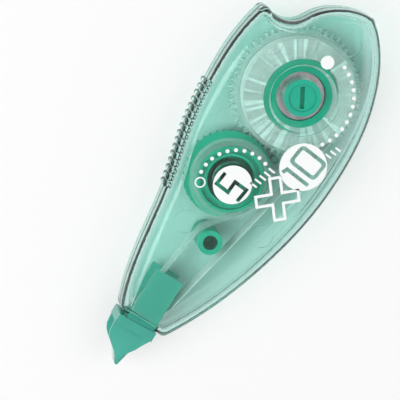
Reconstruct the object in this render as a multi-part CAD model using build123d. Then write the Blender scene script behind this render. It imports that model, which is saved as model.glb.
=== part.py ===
from build123d import *
import os
from math import acos, asin, atan2, cos, pi, radians, sin, sqrt, tan

# Correction tape roller: a flat, tear-shaped case in two clear shells, a supply
# reel that drives a take-up spool through a gear pair, a guide roller, and an
# applicator head at the nose. Millimetres. The origin is on the supply reel's
# axis at the back face, +Z out of the front face, +X away from the nose and +Y
# towards the ribbed finger grip.

# ---- driving dimensions -------------------------------------------------
case_thickness = 14.0
wall = 1.4
nose_reach = 68.2          # supply axis to the nose wall
rear_reach = 25.0          # supply axis to the rear end
grip_reach = 21.8          # supply axis to the finger-grip side
belly_reach = 19.6         # supply axis to the rounded side
band_height = 5.2          # straight band round the edge, seam in its middle
lip_height = 0.8           # tongue that locates one shell in the other
lip_gap = 0.05

tape_width = 5.0
tape_thickness = 0.12      # drawn thicker than the real 0.05
tape_offset = 0.2          # tape's centre in front of the seam
roll_radius = 13.9
core_radius = 8.6
film_radius = 9.2
film_core_radius = 8.2
disc_thickness = 0.15
edge_gap = 0.05            # running strip to the side discs

gear_module = 0.55
supply_teeth = 58
takeup_teeth = 38
gear_width = 1.5
gear_backlash = 0.12
takeup_angle = 171.93      # direction of the take-up axis from the supply axis

post_radius = 2.6          # axle posts of both reels
running = 0.06             # radial clearance of every running fit
end_gap = 0.1              # axial clearance of turning pieces
hub_radius = 3.5           # drive gear's hub tube
skirt_radius = 4.2         # tension knob's skirt, which the supply core turns on
spring_wire = 0.5
spring_radius = 5.15
washer_thickness = 0.3
dish_radius = 8.3          # dish in the front cover round the knob
window_radius = 6.1        # opening at the foot of the dish

roller_radius = 3.05
roller_post_radius = 1.75
roller_place = (-41.8, 0.2)
guard_radius = 0.9
guard_gap = 0.5            # guard post to the tips of both gears

rib_count = 16
rib_pitch = 1.78
rib_radius = 0.7
rib_first_x = -9.0

head_thickness = 7.6
head_tip_thickness = 6.9
head_side = 1.0            # thickness of the head's two side walls
collar_length = 2.5
collar_thickness = 8.8
stem_length = 14.0
tip_radius = 0.45

# ---- levels and places that follow --------------------------------------
seam = case_thickness / 2
inner_floor = wall
inner_roof = case_thickness - wall
tape_mid = seam + tape_offset
roll_bottom = tape_mid - tape_width / 2
roll_top = tape_mid + tape_width / 2
gear_top = roll_bottom - 2 * disc_thickness
gear_bottom = gear_top - gear_width
shelf_bottom = gear_top + 0.5
shelf_top = shelf_bottom + 1.0
core_top = roll_top + 0.5
washer_bottom = core_top
washer_top = washer_bottom + washer_thickness
knob_top = case_thickness - 0.7
post_top = core_top - 0.9
lip_bottom = core_top + 0.3        # underside of the dish's foot

supply_pitch = gear_module * supply_teeth / 2
takeup_pitch = gear_module * takeup_teeth / 2
axis_gap = supply_pitch + takeup_pitch
takeup_place = (
    axis_gap * cos(radians(takeup_angle)),
    axis_gap * sin(radians(takeup_angle)),
)
nose_x = -nose_reach

# ---- case outline -------------------------------------------------------
# Each side of the case is one smooth stretch. Its points are shares of the
# reaches: x of the nose or rear reach, y of the grip or belly reach. The first
# list of a side is the straight band, the second the rim of the flat face.
GRIP_BAND = [
    (-0.991, 0.450), (-0.880, 0.569), (-0.755, 0.647), (-0.629, 0.704),
    (-0.469, 0.789), (-0.323, 0.899), (-0.139, 0.977), (0.172, 0.982),
    (0.600, 0.881),
]
GRIP_FACE = [
    (-0.953, 0.417), (-0.852, 0.468), (-0.732, 0.528), (-0.604, 0.592),
    (-0.477, 0.656), (-0.337, 0.780), (-0.139, 0.844), (0.128, 0.853),
    (0.476, 0.821),
]
REAR_BAND = [
    (0.600, 0.881), (0.540, 0.665), (0.612, 0.463), (0.764, 0.344),
    (0.932, 0.092), (1.000, -0.276),
]
REAR_FACE = [
    (0.476, 0.821), (0.468, 0.633), (0.516, 0.468), (0.620, 0.307),
    (0.824, 0.069), (0.900, -0.204),
]
BELLY_BAND = [
    (1.000, -0.276), (0.852, -0.480), (0.448, -0.791), (-0.010, -0.959),
    (-0.174, -1.002), (-0.350, -0.969), (-0.504, -0.872), (-0.669, -0.709),
    (-0.849, -0.459), (-1.003, -0.163),
]
BELLY_FACE = [
    (0.900, -0.204), (0.780, -0.398), (0.436, -0.658), (0.008, -0.791),
    (-0.133, -0.816), (-0.323, -0.765), (-0.469, -0.643), (-0.655, -0.413),
    (-0.814, -0.168), (-0.928, 0.020),
]
SHOULDER_TURN = 70.0       # degrees that the shoulder turns before the face's crisp rim
SHOULDER_STEPS = 4


def placed(share):
    x, y = share
    return (
        x * (nose_reach if x < 0 else rear_reach),
        y * (grip_reach if y > 0 else belly_reach),
    )


def mixed(band, face, blend):
    """Points between the band's outline and the face's rim."""
    result = []
    for b, f in zip(band, face):
        bx, by = placed(b)
        fx, fy = placed(f)
        result.append(Vector(bx + (fx - bx) * blend, by + (fy - by) * blend))
    return result


def inward(a, b):
    """Unit normal to the left of the run from a to b."""
    run = (b - a).normalized()
    return Vector(-run.Y, run.X)


def outline(blend, inset, corner_radius):
    """Closed face of the case's plan, counter-clockwise, moved in by inset."""
    sides = [
        list(reversed(mixed(GRIP_BAND, GRIP_FACE, blend))),
        mixed(BELLY_BAND, BELLY_FACE, blend),
        list(reversed(mixed(REAR_BAND, REAR_FACE, blend))),
    ]
    grip, belly, rear = sides
    # counter-clockwise: rear end -> cusp -> nose -> belly -> rear end
    order = [rear, grip, [grip[-1], belly[-1]], list(reversed(belly))]
    moved = []
    for side in order:
        count = len(side)
        shifted = []
        for i, point in enumerate(side):
            before = side[max(i - 1, 0)]
            after = side[min(i + 1, count - 1)]
            shifted.append(point + inward(before, after) * inset)
        moved.append(shifted)
    for i in range(len(moved)):
        this, following = moved[i], moved[(i + 1) % len(moved)]
        n1 = inward(order[i][-2], order[i][-1])
        after = order[(i + 1) % len(order)]
        n2 = inward(after[0], after[1])
        corner = order[i][-1] + (n1 + n2) * (inset / (1 + n1.dot(n2)))
        this[-1] = corner
        following[0] = corner
    edges = []
    for side in moved:
        edges.append(Line(*side) if len(side) == 2 else Spline(*side))
    face = make_face(edges)
    corners = [side[-1] for side in moved]
    for corner in corners:
        vertex = face.vertices().sort_by_distance(corner)[0]
        face = fillet(vertex, corner_radius)
    return face


def shell_body(wall_in, top):
    """Upper half of the case from the seam up: a straight band and a shoulder."""
    rise = top - (seam + band_height / 2)
    band_top = seam + band_height / 2
    sections = []
    for step in range(SHOULDER_STEPS + 1):
        angle = SHOULDER_TURN * step / SHOULDER_STEPS
        blend = (1 - cos(radians(angle))) / (1 - cos(radians(SHOULDER_TURN)))
        level = band_top + rise * sin(radians(angle)) / sin(radians(SHOULDER_TURN))
        inset = wall_in * cos(radians(angle))
        radius = max(1.5 - 1.0 * blend - 0.4 * (wall_in > 0), 0.3)
        sections.append(Pos(0, 0, level) * outline(blend, inset, radius))
    band = extrude(Pos(0, 0, seam) * outline(0, wall_in, 1.5 - 0.4 * (wall_in > 0)), band_height / 2)
    return band + loft(sections)


def disc(radius, bottom, top, bore=0.0, at=(0.0, 0.0)):
    """Round disc or ring between two levels."""
    height = top - bottom
    body = Cylinder(radius, height, align=(Align.CENTER, Align.CENTER, Align.MIN))
    if bore > 0:
        body -= Cylinder(bore, height, align=(Align.CENTER, Align.CENTER, Align.MIN))
    return Pos(at[0], at[1], bottom) * body


def plate(points, bottom, top):
    """Flat plate of a polygon's plan between two levels."""
    return extrude(Pos(0, 0, bottom) * make_face(Polyline(*points, close=True)), top - bottom)


def gear(teeth, bottom, top, first_angle):
    """Spur gear blank with involute teeth, a tooth centred on first_angle (degrees)."""
    pitch_r = gear_module * teeth / 2
    base_r = pitch_r * cos(radians(20))
    tip_r = pitch_r + gear_module
    root_r = pitch_r - 1.25 * gear_module
    pitch_half = (pi * gear_module / 2 - gear_backlash) / (2 * pitch_r)

    def involute(angle):
        return tan(angle) - angle

    def half_angle(radius):
        return pitch_half + involute(radians(20)) - involute(acos(min(base_r / radius, 1.0)))

    points = []
    for tooth in range(teeth):
        middle = radians(first_angle) + 2 * pi * tooth / teeth
        flank = [max(root_r, base_r + 0.01), pitch_r, tip_r]
        for r in flank:
            points.append((r * cos(middle - half_angle(r)), r * sin(middle - half_angle(r))))
        for r in reversed(flank):
            points.append((r * cos(middle + half_angle(r)), r * sin(middle + half_angle(r))))
    return plate(points, bottom, top)


def toward(start, end):
    """Angle of the run from start to end, in radians."""
    return atan2(end[1] - start[1], end[0] - start[0])


def on_circle(centre, radius, angle):
    return (centre[0] + radius * cos(angle), centre[1] + radius * sin(angle))


def ribbon(route, thickness, width, middle):
    """Tape on edge: a flat strip swept along a plan route."""
    start = route.position_at(0)
    ahead = route.tangent_at(0)
    section = Plane(origin=(start.X, start.Y, middle), x_dir=(0, 0, 1), z_dir=ahead)
    return sweep(section * Rectangle(width, thickness), path=Pos(0, 0, middle) * route)


# ---- places on the mechanism's plan -------------------------------------
head_low = 0.0             # head's stem, across the nose
head_high = 7.6
head_mouth_gap = 0.1
tongue_root = (nose_x + 2.5, 1.0)
tongue_back = (nose_x + 2.5, 6.6)
tip_centre = (nose_x - 11.6, 3.4)
crest_centre = (nose_x - 5.6, 7.0)
head_bottom = tape_mid - head_thickness / 2
head_top = tape_mid + head_thickness / 2

eject_places = [
    (nose_reach * -0.20, grip_reach * 0.60),
    (rear_reach * 0.66, belly_reach * -0.16),
    (rear_reach * 0.30, grip_reach * 0.63),
    (nose_reach * -0.50, belly_reach * -0.50),
    (nose_reach * -0.59, grip_reach * 0.385),
]
eject_radius = 2.8
eject_depth = 0.25

# guard post in the corner beside the gears' mesh, clear of both tip circles
reach_a = supply_pitch + gear_module + guard_gap + guard_radius
reach_b = takeup_pitch + gear_module + guard_gap + guard_radius
along = (reach_a**2 - reach_b**2 + axis_gap**2) / (2 * axis_gap)
aside = sqrt(reach_a**2 - along**2)
axis_dir = (takeup_place[0] / axis_gap, takeup_place[1] / axis_gap)
guard_place = (
    axis_dir[0] * along - axis_dir[1] * aside,
    axis_dir[1] * along + axis_dir[0] * aside,
)
drive_top = gear_top - 0.15    # the drive gear passes under the take-up spool's flange
boss_radius = 5.5
flange_radius = takeup_pitch + gear_module - 0.1
well_radius = 5.8          # open well in the middle of the take-up spool


# ---- case ----------------------------------------------------------------
outer_half = shell_body(0, case_thickness)
inner_half = shell_body(wall, inner_roof)
blank = outer_half - inner_half
middle_plane = Plane.XY.offset(seam)


def lip_ring(inner, outer, bottom, top):
    """Ring round the seam between two insets of the plan."""
    ring = outline(0, outer, 0.9) - outline(0, inner, 0.7)
    return extrude(Pos(0, 0, bottom) * ring, top - bottom)


def ribs(bottom, top):
    """Half-round finger ribs, evenly spaced along the grip side's band."""
    side = Spline(*mixed(GRIP_BAND, GRIP_FACE, 0))
    start = side.param_at_point(side.closest_points(Vector(rib_first_x, grip_reach))[0])
    group = []
    for i in range(rib_count):
        point = side.position_at(start - i * rib_pitch / side.length)
        group.append(disc(rib_radius, bottom, top, at=(point.X, point.Y)))
    return group


mouth = Pos(nose_x, (head_low + head_high) / 2, tape_mid) * Box(
    8.0,
    head_high - head_low + 2 * head_mouth_gap,
    head_thickness + 2 * head_mouth_gap,
)

# rear shell: floor, reel bosses and posts, the guard post, the seam's tongue
rear_cover = mirror(blank, middle_plane)
tongue_half = wall / 2
rear_cover += lip_ring(wall, tongue_half + lip_gap, seam - 0.01, seam + lip_height)
for centre in ((0.0, 0.0), takeup_place):
    rear_cover += disc(boss_radius, inner_floor - 0.05, gear_bottom - end_gap, at=centre)
    rear_cover += disc(post_radius, inner_floor, post_top, at=centre)
    rear_cover -= disc(post_radius - 1.0, inner_floor + 0.4, post_top, at=centre)
rear_cover += disc(roller_post_radius, inner_floor - 0.05, inner_roof - 0.3, at=roller_place)
rear_cover += disc(guard_radius, inner_floor - 0.05, gear_top, at=guard_place)
rear_cover -= mouth
for bar in ribs(seam - band_height / 2, seam - 0.15):
    rear_cover += bar

# front shell: dish and window for the knob, keeper ring over the take-up spool
front_cover = blank
front_cover -= lip_ring(wall + 0.2, tongue_half, seam - 0.01, seam + lip_height + 2 * lip_gap)
dish_foot = window_radius
dish = revolve(
    make_face(
        Polyline(
            (dish_foot, 0, lip_bottom),
            (dish_radius + 1.2, 0, inner_roof - 0.4),
            (dish_radius + 1.2, 0, case_thickness - 0.05),
            (0, 0, case_thickness - 0.05),
            (0, 0, lip_bottom),
            close=True,
        )
    ),
    Axis.Z,
)
dish_hollow = revolve(
    make_face(
        Polyline(
            (0, 0, lip_bottom - 1),
            (dish_foot, 0, lip_bottom - 1),
            (dish_foot, 0, lip_bottom + 0.8),
            (dish_foot + 0.5, 0, lip_bottom + 1.3),
            (dish_radius, 0, case_thickness),
            (dish_radius, 0, case_thickness + 1),
            (0, 0, case_thickness + 1),
            close=True,
        )
    ),
    Axis.Z,
)
front_cover += dish
front_cover -= dish_hollow
front_cover += disc(4.6, core_top + end_gap, inner_roof + 0.05, bore=3.9, at=takeup_place)
for centre in eject_places:
    front_cover -= disc(eject_radius, inner_roof - 1, inner_roof + eject_depth, at=centre)
front_cover -= mouth
for bar in ribs(seam + 0.15, seam + band_height / 2):
    front_cover += bar

# ---- supply reel ---------------------------------------------------------
supply_core = disc(core_radius, shelf_bottom, core_top, bore=window_radius + 0.1)
supply_core += disc(core_radius, shelf_bottom, shelf_top, bore=skirt_radius + running)
tape_roll = disc(roll_radius, roll_bottom, roll_top, bore=core_radius)
disc_radius = roll_radius + 0.9
lower_disc = disc(disc_radius, roll_bottom - disc_thickness, roll_bottom, bore=core_radius)
upper_disc = disc(disc_radius, roll_top, roll_top + disc_thickness, bore=core_radius)

# ---- drive gear, clutch and tension knob ---------------------------------
drive_gear = gear(supply_teeth, gear_bottom, drive_top, takeup_angle)
drive_gear += disc(hub_radius, gear_bottom, post_top + 0.4)
drive_gear -= disc(post_radius + running, gear_bottom - 1, post_top + 1)
spoke_gap = disc(supply_pitch - 3.0, gear_bottom - 1, gear_top + 1, bore=9.5)
for k in range(6):
    drive_gear -= spoke_gap & plate(
        [(0, 0), on_circle((0, 0), 30, radians(60 * k + 10)), on_circle((0, 0), 30, radians(60 * k + 50))],
        gear_bottom - 1,
        gear_top + 1,
    )
clutch_ring = disc(6.4, drive_top, shelf_bottom - 0.05, bore=skirt_radius + 0.4)
clutch_washer = disc(window_radius - 0.15, washer_bottom, washer_top, bore=skirt_radius)
tension_knob = disc(skirt_radius, drive_top + 0.05, washer_top, bore=hub_radius)
tension_knob += disc(skirt_radius + 0.35, washer_top, knob_top)
tension_knob -= disc(skirt_radius - 0.75, knob_top - 0.5, knob_top + 1)
slot = Pos(0, 0, knob_top - 1.8) * Box(5.4, 1.1, 4, align=(Align.CENTER, Align.CENTER, Align.MIN))
tension_knob -= Rot(0, 0, 30) * slot
spring_start = shelf_top + 0.05 + spring_wire / 2
spring_rise = washer_bottom - 0.05 - spring_wire / 2 - spring_start
coil = Helix(spring_rise / 4, spring_rise, spring_radius)
coil_plane = Plane(origin=coil.position_at(0), z_dir=coil.tangent_at(0))
clutch_spring = Pos(0, 0, spring_start) * sweep(
    coil_plane * Circle(spring_wire / 2), path=coil, is_frenet=True
)

# ---- take-up spool -------------------------------------------------------
mesh_angle = takeup_angle + 180 + 180 / takeup_teeth
takeup_spool = gear(takeup_teeth, gear_bottom, gear_top, mesh_angle)
takeup_spool += disc(flange_radius, gear_top - 0.05, gear_top + disc_thickness)
takeup_spool += disc(film_core_radius, gear_bottom, core_top)
takeup_spool -= disc(film_core_radius - 0.6, core_top - 1.0, core_top + 1, bore=well_radius + 0.7)
takeup_spool -= disc(well_radius, gear_bottom + 0.8, core_top + 1)
takeup_spool += disc(post_radius + 1.1, gear_bottom, core_top)
takeup_spool -= disc(post_radius + running, gear_bottom - 1, core_top + 1)
takeup_spool = Pos(takeup_place[0], takeup_place[1]) * takeup_spool
film_roll = disc(film_radius, roll_bottom, roll_top, bore=film_core_radius, at=takeup_place)
film_disc = disc(
    takeup_pitch - 0.2, roll_top, roll_top + disc_thickness, bore=film_core_radius, at=takeup_place
)

# ---- guide roller --------------------------------------------------------
guide_roller = disc(
    roller_radius, inner_floor + end_gap, inner_roof - end_gap,
    bore=roller_post_radius + running, at=roller_place,
)

# ---- applicator head -----------------------------------------------------
side_plan = [
    (stem_length, head_high), (stem_length, head_low), (-collar_length, head_low),
    (-collar_length, -0.8), (-4.6, 0.4), (-6.4, 1.3), (-7.6, 2.2), (-9.0, 3.0),
    (-10.3, 3.3), (-11.0, 3.6), (-10.7, 4.1), (-8.9, 6.0), (-7.6, 7.6), (-6.6, 8.6),
    (-5.2, 9.3), (-collar_length, 9.6), (-collar_length, head_high),
]
side_points = [(nose_x + x, y) for x, y in side_plan]
head = plate(side_points, head_bottom, head_bottom + head_side)
head += plate(side_points, head_top - head_side, head_top)
taper = (head_thickness - head_tip_thickness) / 2
for level, sign in ((head_bottom, 1), (head_top, -1)):
    wedge = Polyline(
        (nose_x - 3.5, 0, level), (nose_x - 13, 0, level + sign * taper),
        (nose_x - 13, 0, level - sign * 1), (nose_x - 3.5, 0, level - sign * 1), close=True,
    )
    head -= extrude(make_face(wedge), 30, both=True)
tongue = make_hull(
    [
        *(Pos(tongue_root[0], tongue_root[1] + tip_radius) * Circle(tip_radius)).edges(),
        *(Pos(tongue_back[0], tongue_back[1] - tip_radius) * Circle(tip_radius)).edges(),
        *(Pos(crest_centre[0], crest_centre[1]) * Circle(tip_radius)).edges(),
        *(Pos(tip_centre[0], tip_centre[1]) * Circle(tip_radius)).edges(),
    ]
)
head += extrude(Pos(0, 0, head_bottom + head_side - 0.05) * tongue, head_thickness - 2 * head_side + 0.1)
collar = Pos(nose_x - collar_length / 2 - 0.05, 4.35, tape_mid) * (
    Box(collar_length - 0.1, 10.5, collar_thickness)
    - Box(collar_length, 8.9, tape_width + 0.5)
)
head += collar

# ---- tape and film -------------------------------------------------------
def tangent(first, second):
    """Run that leaves one round and meets the next; side is 1 where the centre is on its left."""
    (ca, ra, sa), (cb, rb, sb) = first, second
    gap = sqrt((cb[0] - ca[0]) ** 2 + (cb[1] - ca[1]) ** 2)
    heading = toward(ca, cb) - asin((sb * rb - sa * ra) / gap)
    nx, ny = -sin(heading), cos(heading)
    return (
        (ca[0] - sa * ra * nx, ca[1] - sa * ra * ny),
        (cb[0] - sb * rb * nx, cb[1] - sb * rb * ny),
    )


def bend(start, end, turn):
    """Arc round a centre from one point to another, on the side they lie on."""
    centre, radius, _ = turn
    middle = Vector(start[0] + end[0] - 2 * centre[0], start[1] + end[1] - 2 * centre[1]).normalized()
    via = (centre[0] + radius * middle.X, centre[1] + radius * middle.Y)
    return ThreePointArc(start, via, end)


# the tape runs taut and straight from the roll to the tip
strip = tape_thickness / 2 + 0.05          # centre of the strip above what it passes
supply_turn = ((0.0, 0.0), roll_radius + strip, -1)
tip_turn = (tip_centre, tip_radius + strip, -1)
crest_turn = (crest_centre, tip_radius + strip, -1)
back_turn = ((tongue_back[0], tongue_back[1] - tip_radius), tip_radius + strip, -1)
roller_turn = (roller_place, roller_radius + strip, -1)
film_turn = (takeup_place, film_radius + strip, 1)

off_roll, on_tip = tangent(supply_turn, tip_turn)
off_tip, on_crest = tangent(tip_turn, crest_turn)
off_crest, on_back = tangent(crest_turn, back_turn)
off_back, on_roller = tangent(back_turn, roller_turn)
off_roller, on_film = tangent(roller_turn, film_turn)
nose_point = on_circle(tip_turn[0], tip_turn[1], toward(crest_turn[0], tip_turn[0]) + radians(20))

feed_route = Wire(
    [
        Line(off_roll, on_tip),
        bend(on_tip, nose_point, tip_turn),
    ]
)
film_route = Wire(
    [
        bend(nose_point, off_tip, tip_turn),
        Line(off_tip, on_crest),
        bend(on_crest, off_crest, crest_turn),
        Line(off_crest, on_back),
        bend(on_back, off_back, back_turn),
        Line(off_back, on_roller),
        bend(on_roller, off_roller, roller_turn),
        Line(off_roller, on_film),
    ]
)
strip_width = tape_width - 2 * edge_gap
feed_tape = ribbon(feed_route, tape_thickness, strip_width, tape_mid)
return_film = ribbon(film_route, tape_thickness, strip_width, tape_mid)

# ---- one file for each piece ----------------------------------------------
pieces = {
    "rear_cover": rear_cover,
    "front_cover": front_cover,
    "supply_core": supply_core,
    "tape_roll": tape_roll,
    "lower_tape_disc": lower_disc,
    "upper_tape_disc": upper_disc,
    "drive_gear": drive_gear,
    "clutch_ring": clutch_ring,
    "clutch_spring": clutch_spring,
    "clutch_washer": clutch_washer,
    "tension_knob": tension_knob,
    "takeup_spool": takeup_spool,
    "film_roll": film_roll,
    "film_disc": film_disc,
    "guide_roller": guide_roller,
    "applicator_head": head,
    "feed_tape": feed_tape,
    "return_film": return_film,
}
os.makedirs("parts", exist_ok=True)
for name, piece in pieces.items():
    export_step(piece, f"parts/{name}.step")
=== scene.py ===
import math

import bpy
from mathutils import Matrix, Vector


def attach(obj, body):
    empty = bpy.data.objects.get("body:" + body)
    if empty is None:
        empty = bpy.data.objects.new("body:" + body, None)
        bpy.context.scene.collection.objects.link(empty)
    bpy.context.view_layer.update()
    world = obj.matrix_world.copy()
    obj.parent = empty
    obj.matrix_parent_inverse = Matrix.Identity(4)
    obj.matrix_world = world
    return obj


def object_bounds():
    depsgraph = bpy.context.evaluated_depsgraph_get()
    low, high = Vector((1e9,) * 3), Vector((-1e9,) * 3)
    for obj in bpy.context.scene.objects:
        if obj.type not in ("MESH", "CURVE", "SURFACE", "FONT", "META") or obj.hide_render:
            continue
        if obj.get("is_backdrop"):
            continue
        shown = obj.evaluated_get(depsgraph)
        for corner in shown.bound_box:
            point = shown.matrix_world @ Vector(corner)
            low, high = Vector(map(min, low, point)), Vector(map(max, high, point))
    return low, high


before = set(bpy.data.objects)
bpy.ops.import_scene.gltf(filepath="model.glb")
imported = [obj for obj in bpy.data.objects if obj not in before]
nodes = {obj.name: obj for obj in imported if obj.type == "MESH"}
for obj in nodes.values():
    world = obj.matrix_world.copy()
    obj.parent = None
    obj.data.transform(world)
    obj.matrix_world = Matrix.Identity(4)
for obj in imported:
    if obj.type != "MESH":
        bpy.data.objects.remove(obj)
cad_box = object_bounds()
scene = bpy.context.scene
scene.view_settings.view_transform = "Standard"
scene.cycles.max_bounces = 24
scene.cycles.transmission_bounces = 24
scene.cycles.transparent_max_bounces = 24
MM = 0.001

# ---- Camera --------------------------------------------------------------
# A long lens half a metre away. The roller lies on its back with the nose
# pointing down and to the left, and the camera leans 16.5 degrees over its grip side.
lean = math.tan(math.radians(16.5))
back = Vector((0.471 * lean, 0.884 * lean, 1.0)).normalized()
turn = math.radians(60)
right = Vector((math.cos(turn), -math.sin(turn), 0))
right = (right - right.dot(back) * back).normalized()
up = back.cross(right)
distance = 500 * MM
aim = Vector((0, 0, 14 * MM)) - right * 24.8 * MM - up * 24.3 * MM
lens = bpy.data.cameras.new("camera")
lens.sensor_width = 36
lens.lens = 187.5
lens.clip_end = 5
camera = bpy.data.objects.new("camera", lens)
scene.collection.objects.link(camera)
facing = Matrix((right, up, back)).transposed().to_4x4()
camera.matrix_world = Matrix.Translation(aim + back * distance) @ facing
scene.camera = camera


# ---- Table and light -----------------------------------------------------
# A plain white table, a wide soft lamp over the grip side and a weaker one
# opposite, in a white room that keeps every shadow open.
def srgb(text):
    """Linear colour of an sRGB hex value."""
    parts = [int(text[i:i + 2], 16) / 255 for i in (1, 3, 5)]
    return [p / 12.92 if p < 0.04045 else ((p + 0.055) / 1.055) ** 2.4 for p in parts] + [1.0]


def put(tree, kind, links=None, **settings):
    """Adds a node: settings are its properties, links its inputs as values or sockets."""
    made = tree.nodes.new(kind)
    for name, value in settings.items():
        setattr(made, name, value)
    for name, value in (links or {}).items():
        if isinstance(value, bpy.types.NodeSocket):
            tree.links.new(value, made.inputs[name])
        else:
            made.inputs[name].default_value = value
    return made


def material(name):
    """An empty material with its node tree."""
    made = bpy.data.materials.new(name)
    made.use_nodes = True
    made.node_tree.nodes.clear()
    return made, made.node_tree


def show(tree, shader, **more):
    """Joins a shader to the material's output."""
    put(tree, "ShaderNodeOutputMaterial", {"Surface": shader.outputs[0], **more})


def finish_with(name, made):
    """Gives a CAD node its material."""
    piece = nodes[name]
    piece.data.materials.clear()
    piece.data.materials.append(made)


table_white, tree = material("white_laminate")
path = put(tree, "ShaderNodeLightPath")
matt = put(tree, "ShaderNodeBsdfDiffuse", {"Color": srgb("#f4f4f4")})
glow = put(tree, "ShaderNodeEmission", {"Color": srgb("#ffffff"), "Strength": 1.0})
seen = put(tree, "ShaderNodeMath", {0: path.outputs["Is Camera Ray"], 1: 0.5}, operation="MULTIPLY")
both = put(tree, "ShaderNodeMixShader", {0: seen.outputs[0], 1: matt.outputs[0], 2: glow.outputs[0]})
show(tree, both)
mesh = bpy.data.meshes.new("table")
half = 2.0
mesh.from_pydata([(-half, -half, 0), (half, -half, 0), (half, half, 0), (-half, half, 0)], [], [(0, 1, 2, 3)])
table = bpy.data.objects.new("table", mesh)
table.location.z = -0.0001
mesh.materials.append(table_white)
scene.collection.objects.link(table)
table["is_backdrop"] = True

room = bpy.data.worlds.new("room")
room.use_nodes = True
room.node_tree.nodes["Background"].inputs["Color"].default_value = srgb("#ffffff")
room.node_tree.nodes["Background"].inputs["Strength"].default_value = 0.55
scene.world = room


def lamp(name, place, size, power):
    """A square soft lamp aimed at the middle of the roller."""
    light = bpy.data.lights.new(name, "AREA")
    light.size = size
    light.energy = power
    made = bpy.data.objects.new(name, light)
    made.location = place
    made.rotation_mode = "QUATERNION"
    made.rotation_quaternion = (Vector((-0.028, 0, 0)) - Vector(place)).to_track_quat("-Z", "Y")
    scene.collection.objects.link(made)


lamp("key_lamp", (-0.25, 0.45, 0.6), 0.5, 3.3)
lamp("fill_lamp", (0.4, -0.3, 0.7), 0.6, 1.3)

# ---- Case shells ---------------------------------------------------------
# Two injection-moulded shells of clear polystyrene with a green tint, welded along
# the seam. A wall is pale and an edge is deep green, since light travels further in it.
def around(tree, x=0.0, y=0.0):
    """Object coordinates in metres, measured from a place on the plan given in millimetres."""
    place = put(tree, "ShaderNodeTexCoord")
    shift = (-x * MM, -y * MM, 0)
    return put(tree, "ShaderNodeMapping", {"Vector": place.outputs["Object"], "Location": shift}).outputs[0]


def grain(tree, where, size, detail=3.0):
    """Irregular pattern whose blotches are about size millimetres across."""
    links = {"Vector": where, "Scale": 1 / (size * MM), "Detail": detail}
    return put(tree, "ShaderNodeTexNoise", links).outputs["Fac"]


def rings(tree, where, pitch):
    """Rings round the Z axis, pitch millimetres apart."""
    scale = 2 * math.pi / (20 * pitch * MM)
    return put(tree, "ShaderNodeTexWave", {"Vector": where, "Scale": scale, "Distortion": 0.0},
               wave_type="RINGS", rings_direction="Z").outputs["Fac"]


def between(tree, value, low, high):
    """A pattern carried over to a range of values."""
    return put(tree, "ShaderNodeMapRange", {"Value": value, "To Min": low, "To Max": high}).outputs[0]


def blend(tree, value, dark, light):
    """A pattern carried over to a pair of colours."""
    return put(tree, "ShaderNodeMix", {0: value, 6: srgb(dark), 7: srgb(light)}, data_type="RGBA").outputs[2]


def relief(tree, value, height):
    """A pattern carried over to a surface relief of so many millimetres."""
    return put(tree, "ShaderNodeBump", {"Height": value, "Distance": height * MM, "Strength": 1.0}).outputs[0]


case_clear, tree = material("polystyrene_clear_green")     # gloss, with faint flow marks and handling haze
where = around(tree)
gloss = put(tree, "ShaderNodeBsdfPrincipled", {
    "Base Color": srgb("#ffffff"), "IOR": 1.42, "Transmission Weight": 1.0,
    "Roughness": between(tree, grain(tree, where, 4.0), 0.02, 0.07),
    "Normal": relief(tree, grain(tree, where, 9.0, 1.0), 0.02),
})
pass_light = put(tree, "ShaderNodeBsdfTransparent", {"Color": srgb("#f4faf8")})
ray = put(tree, "ShaderNodeLightPath")
wall = put(tree, "ShaderNodeMixShader", {
    0: ray.outputs["Is Shadow Ray"], 1: gloss.outputs[0], 2: pass_light.outputs[0],
})
tint = put(tree, "ShaderNodeVolumeAbsorption", {"Color": srgb("#7be2d4"), "Density": 190.0})
show(tree, wall, Volume=tint.outputs[0])
for name in ("rear_cover", "front_cover"):
    finish_with(name, case_clear)


# ---- Take-up spool -------------------------------------------------------
# One moulding of green polystyrene: gear, flange and the core that the used film
# winds on. It turns on a post of the rear shell.
def moulded(name, dark, light, size, rough, height, centre=(0.0, 0.0), turned=0.0, **more):
    """Flow marks in colour, an uneven gloss and a fine relief, with rings where it was turned."""
    made, tree = material(name)
    where = around(tree, *centre)
    marks = grain(tree, where, size)
    skin = rings(tree, where, turned) if turned else grain(tree, where, size / 6)
    show(tree, put(tree, "ShaderNodeBsdfPrincipled", {
        "Base Color": blend(tree, marks, dark, light),
        "Roughness": between(tree, marks, rough[0], rough[1]),
        "Normal": relief(tree, skin, height),
        **{key.replace("_", " "): value for key, value in more.items()},
    }))
    return made


takeup_axis = (-26.14, 3.71)
finish_with("takeup_spool", moulded(                       # satin green with the mould's turning rings
    "polystyrene_green_satin_turned", "#04a486", "#12b898", 3.0, (0.25, 0.40), 0.004, takeup_axis, 0.6))

# ---- Wound film and its side disc ----------------------------------------
# The bare carrier film wound on the take-up core, and a loose disc of clear
# polyester that keeps its edge in line. Both let the green spool show through.
film_wound, tree = material("polyester_film_wound")        # nearly clear, its turns drawn coarser
turns = rings(tree, around(tree, *takeup_axis), 0.7)
show(tree, put(tree, "ShaderNodeBsdfPrincipled", {
    "Base Color": srgb("#dcefe9"), "Roughness": 0.22,
    "Alpha": between(tree, turns, 0.10, 0.26), "Normal": relief(tree, turns, 0.008),
}))
finish_with("film_roll", film_wound)


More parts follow.
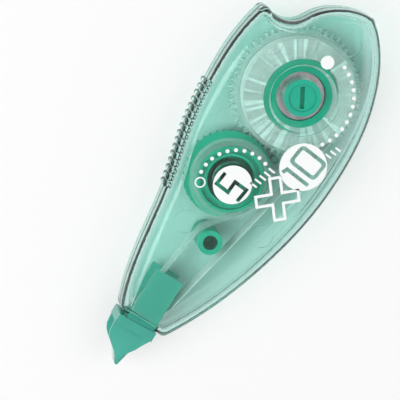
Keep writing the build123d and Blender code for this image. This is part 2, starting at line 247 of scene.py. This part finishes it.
def clear_disc(name, centre):
    """Polyester disc: a faint sheen, streaked by the sheet it was cut from."""
    made, tree = material(name)
    streaks = grain(tree, around(tree, *centre), 5.0, 2.0)
    show(tree, put(tree, "ShaderNodeBsdfPrincipled", {
        "Base Color": srgb("#eef7f4"), "Roughness": between(tree, streaks, 0.06, 0.16),
        "Alpha": between(tree, streaks, 0.05, 0.13), "Normal": relief(tree, streaks, 0.01),
    }))
    return made


finish_with("film_disc", clear_disc("polyester_disc_takeup", takeup_axis))

# ---- Drive gear ----------------------------------------------------------
# Uncoloured polypropylene gear that lies behind the tape, so only a faint arc of
# it shows round the roll.
finish_with("drive_gear", moulded(                         # milky and half clear
    "polypropylene_natural_satin", "#c3ddd5", "#d8ebe5", 4.0, (0.30, 0.45), 0.006, Alpha=0.35))

# ---- Clutch ring, spring and washer --------------------------------------
# The rubber ring grips the drive gear to the core, a coil of drawn steel wire
# presses on it, and a pressed steel washer holds the spring down round the knob.
finish_with("clutch_ring", moulded(                        # matt black, pebbled
    "nitrile_rubber_black_matt", "#141515", "#262827", 0.8, (0.65, 0.85), 0.02))
finish_with("clutch_spring", moulded(                      # bright, with fine drawing lines
    "spring_steel_wire_bright", "#a9abac", "#d2d4d4", 0.6, (0.15, 0.32), 0.003, Metallic=1.0))
finish_with("clutch_washer", moulded(                      # bright, with the tool's fine rings
    "steel_strip_pressed_bright", "#8f9292", "#dfe1e1", 2.2, (0.12, 0.30), 0.003, turned=0.22, Metallic=1.0))

# ---- Supply core ---------------------------------------------------------
# Green polystyrene ring that carries the new tape. Its top shows as the deep
# green band under the dish of the front shell.
finish_with("supply_core", moulded(                        # satin green, turned rings
    "polystyrene_green_satin", "#049f80", "#0eb192", 3.0, (0.25, 0.42), 0.004, turned=0.7))

# ---- Wound tape ----------------------------------------------------------
# Ten metres of carrier film with a dry white coating, wound on the core. The end
# of the roll shows its turns, drawn about twenty times coarser than they are.
tape_wound, tree = material("correction_coating_wound")    # matt white with grey-white turns
where = around(tree)
turns = rings(tree, where, 0.8)
slack = rings(tree, where, 2.7)
uneven = put(tree, "ShaderNodeMath", {0: turns, 1: slack}, operation="MULTIPLY").outputs[0]
show(tree, put(tree, "ShaderNodeBsdfPrincipled", {
    "Base Color": blend(tree, uneven, "#e6ece9", "#f4f7f5"),
    "Roughness": between(tree, grain(tree, where, 1.2), 0.50, 0.70),
    "Normal": relief(tree, turns, 0.004),
}))
finish_with("tape_roll", tape_wound)

# ---- Side discs of the tape ----------------------------------------------
# Two loose discs of clear polyester film, one against each edge of the tape.
side_disc = clear_disc("polyester_disc_supply", (0.0, 0.0))
for name in ("lower_tape_disc", "upper_tape_disc"):
    finish_with(name, side_disc)

# ---- Tension knob --------------------------------------------------------
# Green polystyrene knob with a slot, pressed on the drive gear's hub. A finger or
# coin turns it through the dish to take up slack.
finish_with("tension_knob", moulded(                       # glossy green with a polished lip
    "polystyrene_green_gloss", "#06a688", "#0bb394", 2.5, (0.12, 0.22), 0.003, turned=0.5, Coat_Weight=0.4))

# ---- Guide roller --------------------------------------------------------
# Plain green tube that turns on its post and leads the used film to the spool.
finish_with("guide_roller", moulded(                       # satin green
    "polystyrene_green_roller", "#16a587", "#24b699", 1.5, (0.25, 0.38), 0.004, (-41.8, 0.2), 0.5))

# ---- Applicator head -----------------------------------------------------
# One glossy green moulding clipped into the nose: collar, two side walls and the
# blade whose edge lays the tape. Thin places are lighter because it lets light through.
finish_with("applicator_head", moulded(                    # glossy, slightly translucent, faint flow marks
    "polystyrene_green_head_gloss", "#4cc4b0", "#5fd0bd", 3.5, (0.10, 0.20), 0.006, (-74.0, 3.5),
    Transmission_Weight=0.45, IOR=1.45, Coat_Weight=0.3))

# ---- Tape and film strips ------------------------------------------------
# The coated tape runs straight from the roll to the tip. The bare film comes back
# over the guide roller to the take-up spool.
finish_with("feed_tape", moulded(                          # dry matt white coating with a fine tooth
    "correction_coating_strip", "#e9eeeb", "#f7f8f7", 0.7, (0.55, 0.75), 0.006))
strip_film, tree = material("polyester_film_strip")        # thin clear film with traces of coating
traces = grain(tree, around(tree), 0.9)
show(tree, put(tree, "ShaderNodeBsdfPrincipled", {
    "Base Color": srgb("#eaf5f1"), "Roughness": between(tree, traces, 0.12, 0.30),
    "Alpha": between(tree, traces, 0.28, 0.48), "Normal": relief(tree, traces, 0.004),
}))
finish_with("return_film", strip_film)

# ---- Printing ------------------------------------------------------------
# White screen ink on the front face: two dials with plain numbers, an outlined
# cross between them, short bars and rows of dots. The ink has a soft matt grain.
ink, tree = material("screen_ink_white")                   # matt white, very slightly uneven
where = around(tree)
show(tree, put(tree, "ShaderNodeBsdfPrincipled", {
    "Base Color": blend(tree, grain(tree, where, 0.6), "#eef3f1", "#fbfcfb"),
    "Roughness": between(tree, grain(tree, where, 0.3), 0.45, 0.65),
    "Normal": relief(tree, grain(tree, where, 0.3), 0.004),
}))


ink_level = 14.012 * MM                                    # just clear of the front face
dot = 0.49                                                 # radius of the small dots


def on_circle(x, y, radius, angle):
    """Point on a circle, at an angle in degrees."""
    return x + radius * math.cos(math.radians(angle)), y + radius * math.sin(math.radians(angle))


def ring(x, y, radius, count=40):
    """Circle as a closed loop."""
    return [on_circle(x, y, radius, 360 * k / count) for k in range(count)]


def stroke(points, width):
    """Closed outline of a pen stroke along points, with mitred corners."""
    left, right_side = [], []
    for i, (x, y) in enumerate(points):
        before = Vector(points[i]) - Vector(points[i - 1]) if i else Vector(points[1]) - Vector(points[0])
        after = Vector(points[i + 1]) - Vector(points[i]) if i + 1 < len(points) else before
        a, b = before.normalized(), after.normalized()
        side = Vector((-a.y - b.y, a.x + b.x)).normalized()
        reach = width / 2 / max(0.35, side.dot(Vector((-a.y, a.x))))
        left.append((x + side.x * reach, y + side.y * reach))
        right_side.append((x - side.x * reach, y - side.y * reach))
    return left + right_side[::-1]


def turned_box(x, y, half_x, half_y, angle, corner):
    """Rounded rectangle as a closed loop."""
    loop = []
    for sx, sy, start in ((1, 1, 0), (-1, 1, 90), (-1, -1, 180), (1, -1, 270)):
        for k in range(5):
            a = math.radians(start + 22.5 * k)
            loop.append((
                sx * (half_x - corner) + corner * math.cos(a),
                sy * (half_y - corner) + corner * math.sin(a),
            ))
    c, s = math.cos(math.radians(angle)), math.sin(math.radians(angle))
    return [(x + px * c - py * s, y + px * s + py * c) for px, py in loop]


def cross(x, y, reach, half, angle):
    """Outline of a plus sign as a closed loop."""
    arm = [(reach, -half), (reach, half), (half, half)]
    loop = []
    for k in range(4):
        c, s = math.cos(math.radians(angle + 90 * k)), math.sin(math.radians(angle + 90 * k))
        loop += [(x + px * c - py * s, y + px * s + py * c) for px, py in arm]
    return loop


def printed(name, loops):
    """Ink layer on the front face: a loop inside another is left clear, one inside that is inked again."""
    shape = bpy.data.curves.new(name, "CURVE")
    shape.dimensions = "2D"
    shape.fill_mode = "BOTH"
    shape.extrude = 0.005 * MM
    for loop in loops:
        line = shape.splines.new("POLY")
        line.points.add(len(loop) - 1)
        for point, (x, y) in zip(line.points, loop):
            point.co = (x * MM, y * MM, 0, 1)
        line.use_cyclic_u = True
    drawn = bpy.data.objects.new(name + "_outline", shape)
    scene.collection.objects.link(drawn)
    bpy.context.view_layer.update()
    solved = drawn.evaluated_get(bpy.context.evaluated_depsgraph_get())
    flat = bpy.data.meshes.new_from_object(solved)
    bpy.data.objects.remove(drawn)
    flat.materials.clear()
    flat.materials.append(ink)
    made = bpy.data.objects.new(name, flat)
    made.location.z = ink_level
    scene.collection.objects.link(made)
    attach(made, "case")
    return made


printed("print_width_dial", [
    ring(-26.62, 3.53, 4.8, 64),
    stroke([
        (-24.97, 6.64), (-28.28, 7.05), (-28.73, 3.53), (-25.71, 3.37), (-26.04, -0.1), (-29.53, 0.35),
    ], 0.93),
])
printed("print_length_dial", [
    ring(-14.21, -9.13, 5.9, 72),
    stroke([(-17.84, -5.4), (-16.63, -5.97), (-17.46, -12.64)], 0.93),
    turned_box(-12.7, -9.6, 2.75, 4.1, -7, 1.2),
    turned_box(-12.7, -9.6, 1.8, 3.15, -7, 0.6),
])
printed("print_cross", [cross(-24.04, -7.89, 5.6, 1.65, 39.5), cross(-24.04, -7.89, 4.91, 0.96, 39.5)])
printed("print_ring", [ring(-30.04, 10.7, 1.35), ring(-30.04, 10.7, 1.0)])
printed("print_bars", [
    turned_box(-24.07 + 1.31 * k, -0.97 - 0.49 * k, 0.24, 1.0, -7, 0.1) for k in range(5)
] + [
    turned_box(-8.8 + 1.3 * k, -13.0 - 0.6 * k, 0.24, 0.85, -7, 0.1) for k in range(3)
])
arc_dots = [ring(*on_circle(-26.9, 2.6, 9.3, 95 - 12.8 * k), dot, 20) for k in range(10)]
rim_dots = [ring(*on_circle(0, 0, 12.4, 235 + 9.4 * k), dot, 20) for k in range(12)]
printed("print_dots", arc_dots + rim_dots + [ring(10.4, -0.3, 1.66)])

# ---- Size ----------------------------------------------------------------
# The box of the solids and the box of everything, kept side by side.
bpy.context.view_layer.update()
both = {"cad": cad_box, "visual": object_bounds()}
